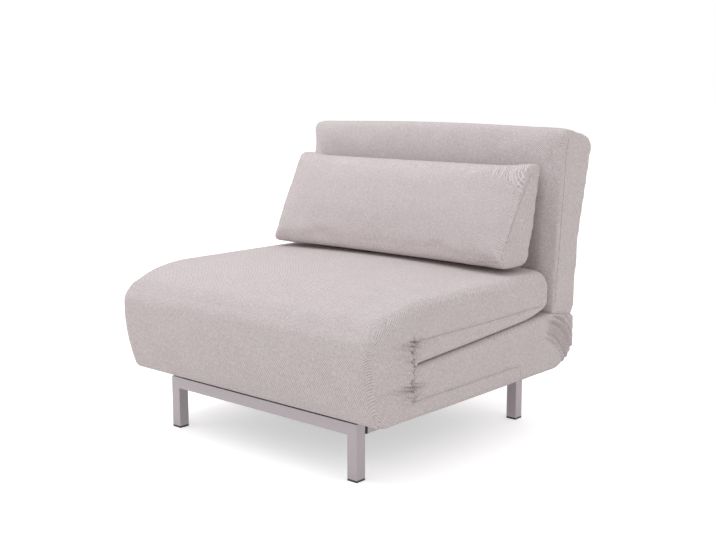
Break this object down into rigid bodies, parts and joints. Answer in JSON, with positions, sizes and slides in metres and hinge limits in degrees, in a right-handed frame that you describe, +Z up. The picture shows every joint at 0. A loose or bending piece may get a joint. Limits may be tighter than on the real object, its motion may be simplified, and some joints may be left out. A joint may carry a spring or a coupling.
{
  "type": "convertible chair bed",
  "caption": "Upholstered armless chair with a fold-out foot section, reclining back, loose lumbar pillow and square-tube leg frames that opens into a single bed.",
  "frame": {"origin": "centre of the folded chair's bounding box at floor level", "axes": "+Z up, the front of the seat faces -Y, +X to the right seen from the front"},
  "size_m": [0.896, 0.923, 0.8095],
  "materials": {
    "tweed_fabric": "two-tone beige and grey basket weave",
    "black_lining": "thin spun-bonded cloth",
    "foam": "open-cell foam",
    "beech": "lacquered",
    "webbing": "elastic strap",
    "black_plastic": "satin",
    "black_rubber": "matte",
    "black_steel": "black powder coat",
    "zinc_steel": "zinc plated",
    "satin_steel": "satin silver grey"
  },
  "bodies": {
    "seat_base": {"back_plate_left": "black_steel", "back_plate_right": "black_steel", "base_cover": "tweed_fabric", "base_foam": "foam", "base_frame": "black_steel", "base_slats": "beech", "dust_cloth": "black_lining", "fixed_rail_left": "satin_steel", "fixed_rail_right": "satin_steel", "fold_plate_left": "black_steel", "fold_plate_right": "black_steel", "front_fold_cover": "tweed_fabric", "rail_collar_left": "black_plastic", "rail_collar_right": "black_plastic", "rear_crossbar": "satin_steel", "rear_fold_cover": "tweed_fabric", "rear_glide_left": "black_plastic", "rear_glide_right": "black_plastic", "rear_leg_left": "satin_steel", "rear_leg_right": "satin_steel", "riser_front_left": "black_steel", "riser_front_right": "black_steel", "riser_rear_left": "black_steel", "riser_rear_right": "black_steel"},
    "foot_section": {"fold_arm_left": "black_steel", "fold_arm_right": "black_steel", "fold_pin_left": "zinc_steel", "fold_pin_right": "zinc_steel", "foot_bed_foam": "foam", "foot_cover": "tweed_fabric", "foot_frame": "black_steel", "foot_seat_foam": "foam", "foot_slats": "beech"},
    "back": {"back_arm_left": "black_steel", "back_arm_right": "black_steel", "back_cover": "tweed_fabric", "back_foam": "foam", "back_frame": "black_steel", "back_pin_left": "zinc_steel", "back_pin_right": "zinc_steel", "back_rear_foam": "foam", "back_straps": "webbing"},
    "front_leg_frame": {"front_crossbar": "satin_steel", "front_glide_left": "black_plastic", "front_glide_right": "black_plastic", "front_leg_left": "satin_steel", "front_leg_right": "satin_steel", "rest_pad_left": "black_rubber", "rest_pad_right": "black_rubber", "sliding_rail_left": "satin_steel", "sliding_rail_right": "satin_steel"},
    "lumbar_pillow": {"pillow_cover": "tweed_fabric", "pillow_filling": "foam"}
  },
  "joints": [
    {"name": "seat_unfold", "type": "hinge", "parent": "seat_base", "child": "foot_section", "pos_m": [0, -0.446, 0.288], "axis": [1, 0, 0], "range_deg": [0, 176.5], "deforming": ["front_fold_cover"]},
    {"name": "back_recline", "type": "hinge", "parent": "seat_base", "child": "back", "pos_m": [0, 0.265, 0.305], "axis": [-1, 0, 0], "range_deg": [0, 85], "deforming": ["rear_fold_cover"]},
    {"name": "front_leg_slide", "type": "slide", "parent": "seat_base", "child": "front_leg_frame", "axis": [0, -1, 0], "range_m": [0, 0.45]},
    {"name": "pillow_carry", "type": "hinge", "parent": "foot_section", "child": "lumbar_pillow", "pos_m": [0, 0.276, 0.382], "axis": [-1, 0, 0], "range_deg": [0, 250.63]}
  ],
  "couplings": [
    {"joint": "pillow_carry", "follows": "seat_unfold", "ratio": 1.42}
  ]
}
